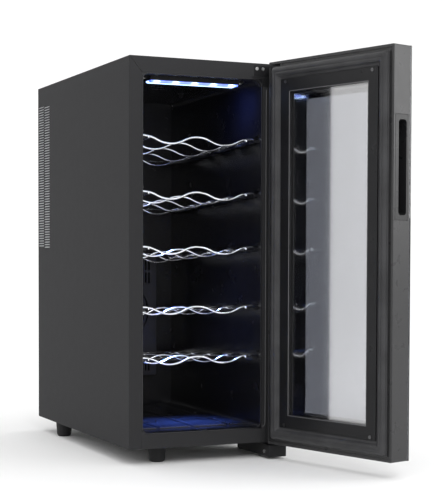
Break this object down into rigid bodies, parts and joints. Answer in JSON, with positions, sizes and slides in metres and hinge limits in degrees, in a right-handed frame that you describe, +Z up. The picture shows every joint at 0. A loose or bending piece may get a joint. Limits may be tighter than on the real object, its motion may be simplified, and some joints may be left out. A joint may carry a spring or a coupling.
{
  "type": "wine cooler",
  "caption": "Narrow free-standing thermoelectric wine cooler, glazed hinged door open, sliding wavy wire shelves, lit black interior, round feet.",
  "frame": {"origin": "on the floor plane, under the middle of the cabinet", "axes": "+Z up, -Y out of the front opening, +X towards the hinge side; the door is stored open 106 degrees"},
  "size_m": [0.3302, 0.7416, 0.6172],
  "materials": {
    "cabinet_paint": "matte dark grey powder coat",
    "steel_zinc": "zinc-plated sheet",
    "rubber_black": "matt",
    "screw_steel": "zinc plated",
    "liner_black": "black moulded polystyrene, satin",
    "foam": "rigid polyurethane foam",
    "plastic_black": "fine texture",
    "pin_steel": "turned",
    "led_lens": "milky diffuser",
    "board_green": "solder mask",
    "led_chip": "phosphor",
    "aluminium": "extruded",
    "ceramic": "white alumina",
    "brass_pin": "nickel-plated brass",
    "component_mix": "parts on a circuit board",
    "chrome": "bright chrome wire",
    "door_paint": "satin dark door moulding",
    "glass_tint": "dark tinted tempered glass",
    "enamel": "fired black border",
    "gasket_rubber": "soft grey-black vinyl",
    "magnet": "flexible magnet strip",
    "bush_plastic": "acetal"
  },
  "bodies": {
    "cabinet": {"base_pan": "cabinet_paint", "board_pillars": "brass_pin", "cabinet_wrap": "cabinet_paint", "cold_block": "aluminium", "cold_heatsink": "aluminium", "fan_cover": "plastic_black", "fan_screws": "screw_steel", "foot_front_left": "rubber_black", "foot_front_right": "rubber_black", "foot_rear_left": "rubber_black", "foot_rear_right": "rubber_black", "foot_screws": "screw_steel", "hinge_screws": "screw_steel", "hot_heatsink": "aluminium", "inlet_pins": "brass_pin", "inner_fan_frame": "plastic_black", "inner_liner": "liner_black", "insulation": "foam", "led_board": "board_green", "led_chips": "led_chip", "led_housing": "plastic_black", "led_lens": "led_lens", "led_screws": "screw_steel", "lower_hinge_bracket": "cabinet_paint", "lower_hinge_cover": "plastic_black", "lower_hinge_pin": "pin_steel", "mains_inlet": "plastic_black", "module_screws": "screw_steel", "outer_fan_frame": "plastic_black", "power_board": "board_green", "power_components": "component_mix", "rear_bulkhead": "steel_zinc", "rear_cover": "cabinet_paint", "rear_cover_screws": "screw_steel", "temperature_sensor": "plastic_black", "thermoelectric_module": "ceramic", "upper_hinge_bracket": "cabinet_paint", "upper_hinge_cover": "plastic_black", "upper_hinge_pin": "pin_steel"},
    "door": {"door_shell": "door_paint", "door_foam": "foam", "inner_glass": "glass_tint", "glazing_spacer": "plastic_black", "enamel_border": "enamel", "front_glass": "glass_tint", "retention_frame": "plastic_black", "retention_screws": "screw_steel", "gasket": "gasket_rubber", "gasket_magnets": "magnet", "handle_insert": "plastic_black", "upper_door_bush": "bush_plastic", "lower_door_bush": "bush_plastic", "control_board": "board_green"},
    "inner_fan_rotor": {"inner_fan_impeller": "plastic_black"},
    "outer_fan_rotor": {"outer_fan_impeller": "plastic_black"},
    "shelf_1": {"wire_shelf_1": "chrome"},
    "shelf_2": {"wire_shelf_2": "chrome"},
    "shelf_3": {"wire_shelf_3": "chrome"},
    "shelf_4": {"wire_shelf_4": "chrome"},
    "shelf_5": {"wire_shelf_5": "chrome"}
  },
  "joints": [
    {"name": "door_hinge", "type": "hinge", "parent": "cabinet", "child": "door", "pos_m": [0.11565, -0.26245, 0.325], "axis": [0, 0, 1], "range_deg": [-106, 6]},
    {"name": "shelf_1_slide", "type": "slide", "parent": "cabinet", "child": "shelf_1", "axis": [0, -0.9986, 0.0523], "range_m": [0, 0.2]},
    {"name": "shelf_2_slide", "type": "slide", "parent": "cabinet", "child": "shelf_2", "axis": [0, -0.9986, 0.0523], "range_m": [0, 0.2]},
    {"name": "shelf_3_slide", "type": "slide", "parent": "cabinet", "child": "shelf_3", "axis": [0, -0.9986, 0.0523], "range_m": [0, 0.2]},
    {"name": "shelf_4_slide", "type": "slide", "parent": "cabinet", "child": "shelf_4", "axis": [0, -0.9986, 0.0523], "range_m": [0, 0.2]},
    {"name": "shelf_5_slide", "type": "slide", "parent": "cabinet", "child": "shelf_5", "axis": [0, -0.9986, 0.0523], "range_m": [0, 0.2]},
    {"name": "inner_fan_spin", "type": "hinge", "parent": "cabinet", "child": "inner_fan_rotor", "pos_m": [-0.0105, 0.13075, 0.218], "axis": [0, 1, 0], "continuous": true},
    {"name": "outer_fan_spin", "type": "hinge", "parent": "cabinet", "child": "outer_fan_rotor", "pos_m": [-0.0105, 0.21275, 0.218], "axis": [0, 1, 0], "continuous": true}
  ]
}
